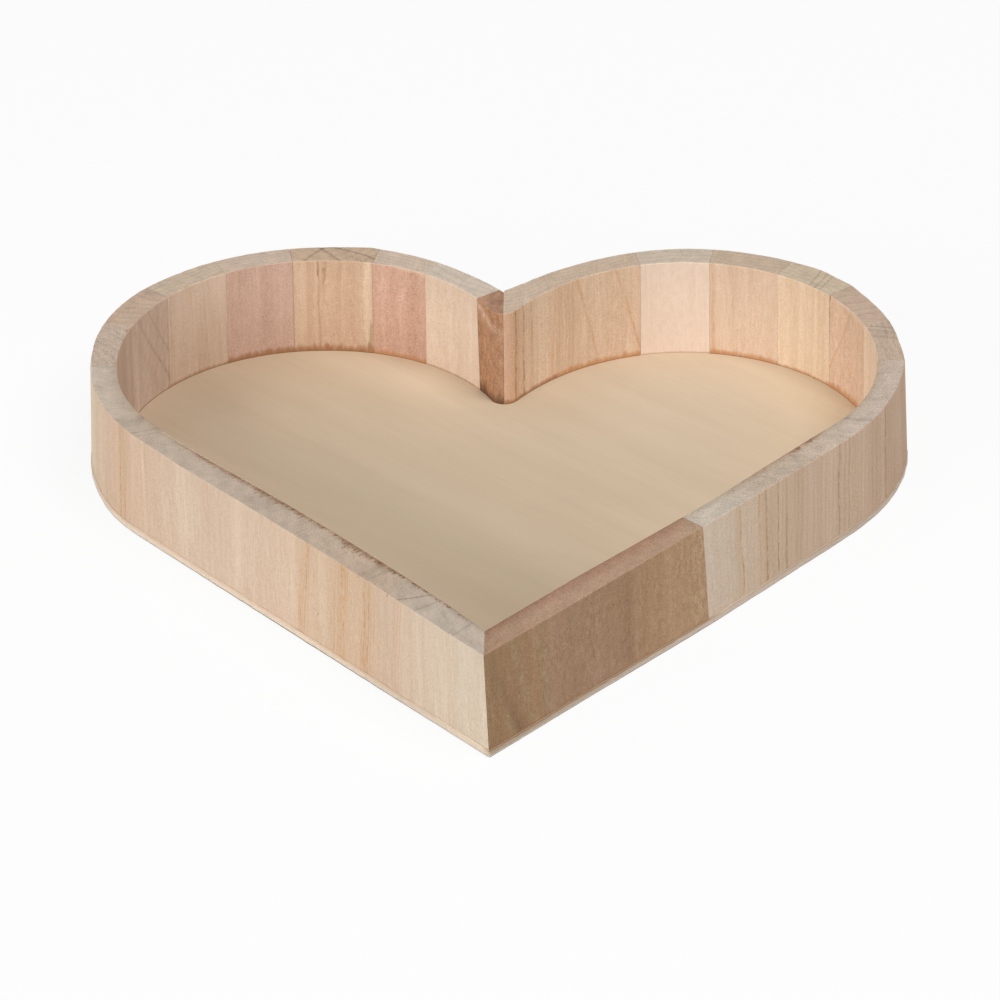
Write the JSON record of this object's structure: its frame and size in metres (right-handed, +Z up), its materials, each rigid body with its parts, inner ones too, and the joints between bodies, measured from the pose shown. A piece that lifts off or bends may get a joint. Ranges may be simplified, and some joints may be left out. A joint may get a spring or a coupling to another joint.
{
  "type": "heart-shaped wooden tray",
  "caption": "Open heart-shaped wooden tray: upright staves glued edge to edge into a rim on a thin plywood base, left bare to serve from, store in or decorate.",
  "frame": {"origin": "centre of the overall box in plan, on the underside of the base where the tray rests", "axes": "+Z up out of the open top, +Y from the tip towards the cleft, +X across the lobes to the right as seen from the tip"},
  "size_m": [0.3, 0.285, 0.042],
  "materials": {
    "wood_cream": "bare sanded wood, matt",
    "wood_pale": "bare sanded wood, matt",
    "wood_tan": "bare sanded wood, matt",
    "wood_pink": "bare sanded wood, matt",
    "wood_greige": "bare sanded wood, matt",
    "wood_umber": "bare sanded wood, matt",
    "wood_brown": "bare sanded wood, matt",
    "wood_russet": "bare sanded wood, matt",
    "veneer_face": "bare plywood veneer, matt",
    "veneer_core": "bare plywood veneer, matt",
    "veneer_back": "bare plywood veneer, matt"
  },
  "bodies": {
    "root": {"left_limb_board": "wood_cream", "right_tip_board": "wood_brown", "right_limb_board": "wood_greige", "left_lobe_stave_1": "wood_umber", "left_lobe_stave_2": "wood_greige", "left_lobe_stave_3": "wood_tan", "left_lobe_stave_4": "wood_pink", "left_lobe_stave_5": "wood_cream", "left_lobe_stave_6": "wood_pink", "left_lobe_stave_7": "wood_pale", "left_cleft_block": "wood_russet", "right_lobe_stave_1": "wood_tan", "right_lobe_stave_2": "wood_pink", "right_lobe_stave_3": "wood_cream", "right_lobe_stave_4": "wood_tan", "right_lobe_stave_5": "wood_pale", "right_lobe_stave_6": "wood_tan", "right_cleft_block": "wood_tan", "base_face_veneer": "veneer_face", "base_core_veneer": "veneer_core", "base_back_veneer": "veneer_back"}
  },
  "joints": []
}
